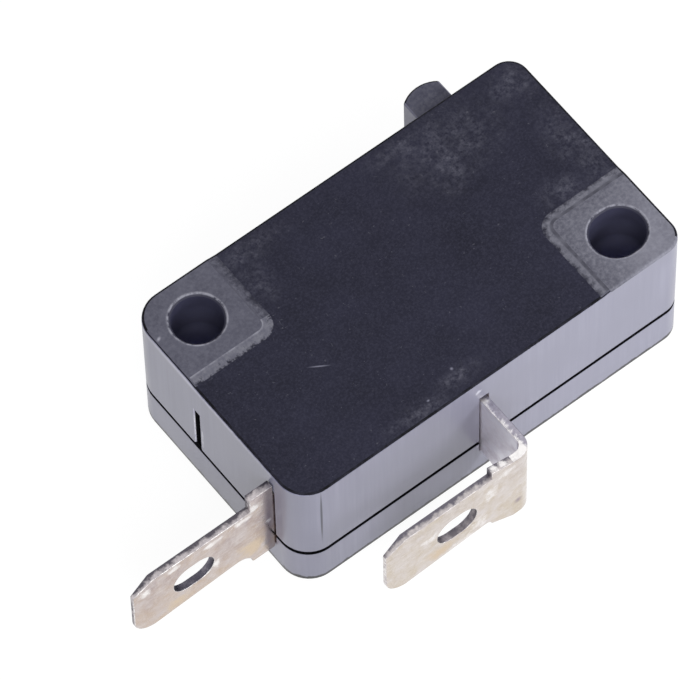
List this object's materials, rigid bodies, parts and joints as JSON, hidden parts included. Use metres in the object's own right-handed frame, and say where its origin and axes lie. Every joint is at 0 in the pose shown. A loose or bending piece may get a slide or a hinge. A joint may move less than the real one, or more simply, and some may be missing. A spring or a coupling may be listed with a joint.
{
  "type": "snap-action micro switch",
  "caption": "Miniature snap-action switch: moulded housing with through mounting holes, a push plunger on a long side, a straight plug-on tab and an angled plug-on tab.",
  "frame": {"origin": "on the axis of the round mounting hole, at the cover's outer face", "axes": "+X along the body towards the plunger end, +Y the way the plunger stands out, +Z through the thickness from the cover to the base"},
  "size_m": [0.0376, 0.023, 0.0103],
  "materials": {
    "base_plastic": "spark-textured moulded face, smooth satin sides",
    "cover_plastic": "smooth satin moulded plastic",
    "plunger_plastic": "smooth satin moulded plastic",
    "tinned_strip": "tin-plated stamped brass strip with sheared edges",
    "contact_metal": "silver-alloy contact rivet",
    "spring_metal": "rolled spring bronze"
  },
  "bodies": {
    "housing": {"base_housing": "base_plastic", "cover": "cover_plastic", "common_terminal": "tinned_strip", "angled_terminal": "tinned_strip", "fixed_contact": "contact_metal"},
    "plunger": {"plunger": "plunger_plastic"},
    "blade": {"contact_blade": "spring_metal", "moving_contact": "contact_metal"},
    "bow_spring": {"bow_spring": "spring_metal"}
  },
  "joints": [
    {"name": "plunger_press", "type": "slide", "parent": "housing", "child": "plunger", "axis": [0, -1, 0], "range_m": [0, 0.0018], "stiffness_N_per_m": 330, "springref_m": -0.0018},
    {"name": "blade_swing", "type": "hinge", "parent": "housing", "child": "blade", "pos_m": [0.00305, -0.0036, 0.00515], "axis": [0, 0, -1], "range_deg": [0, 6.05]},
    {"name": "bow_swing", "type": "hinge", "parent": "housing", "child": "bow_spring", "pos_m": [0.00377, -0.0052, 0.00515], "axis": [0, 0, -1], "range_deg": [0, 6.7]}
  ],
  "couplings": [
    {"joint": "blade_swing", "follows": "plunger_press", "rad_per_m": 58.309},
    {"joint": "bow_swing", "follows": "plunger_press", "rad_per_m": 64.606}
  ]
}
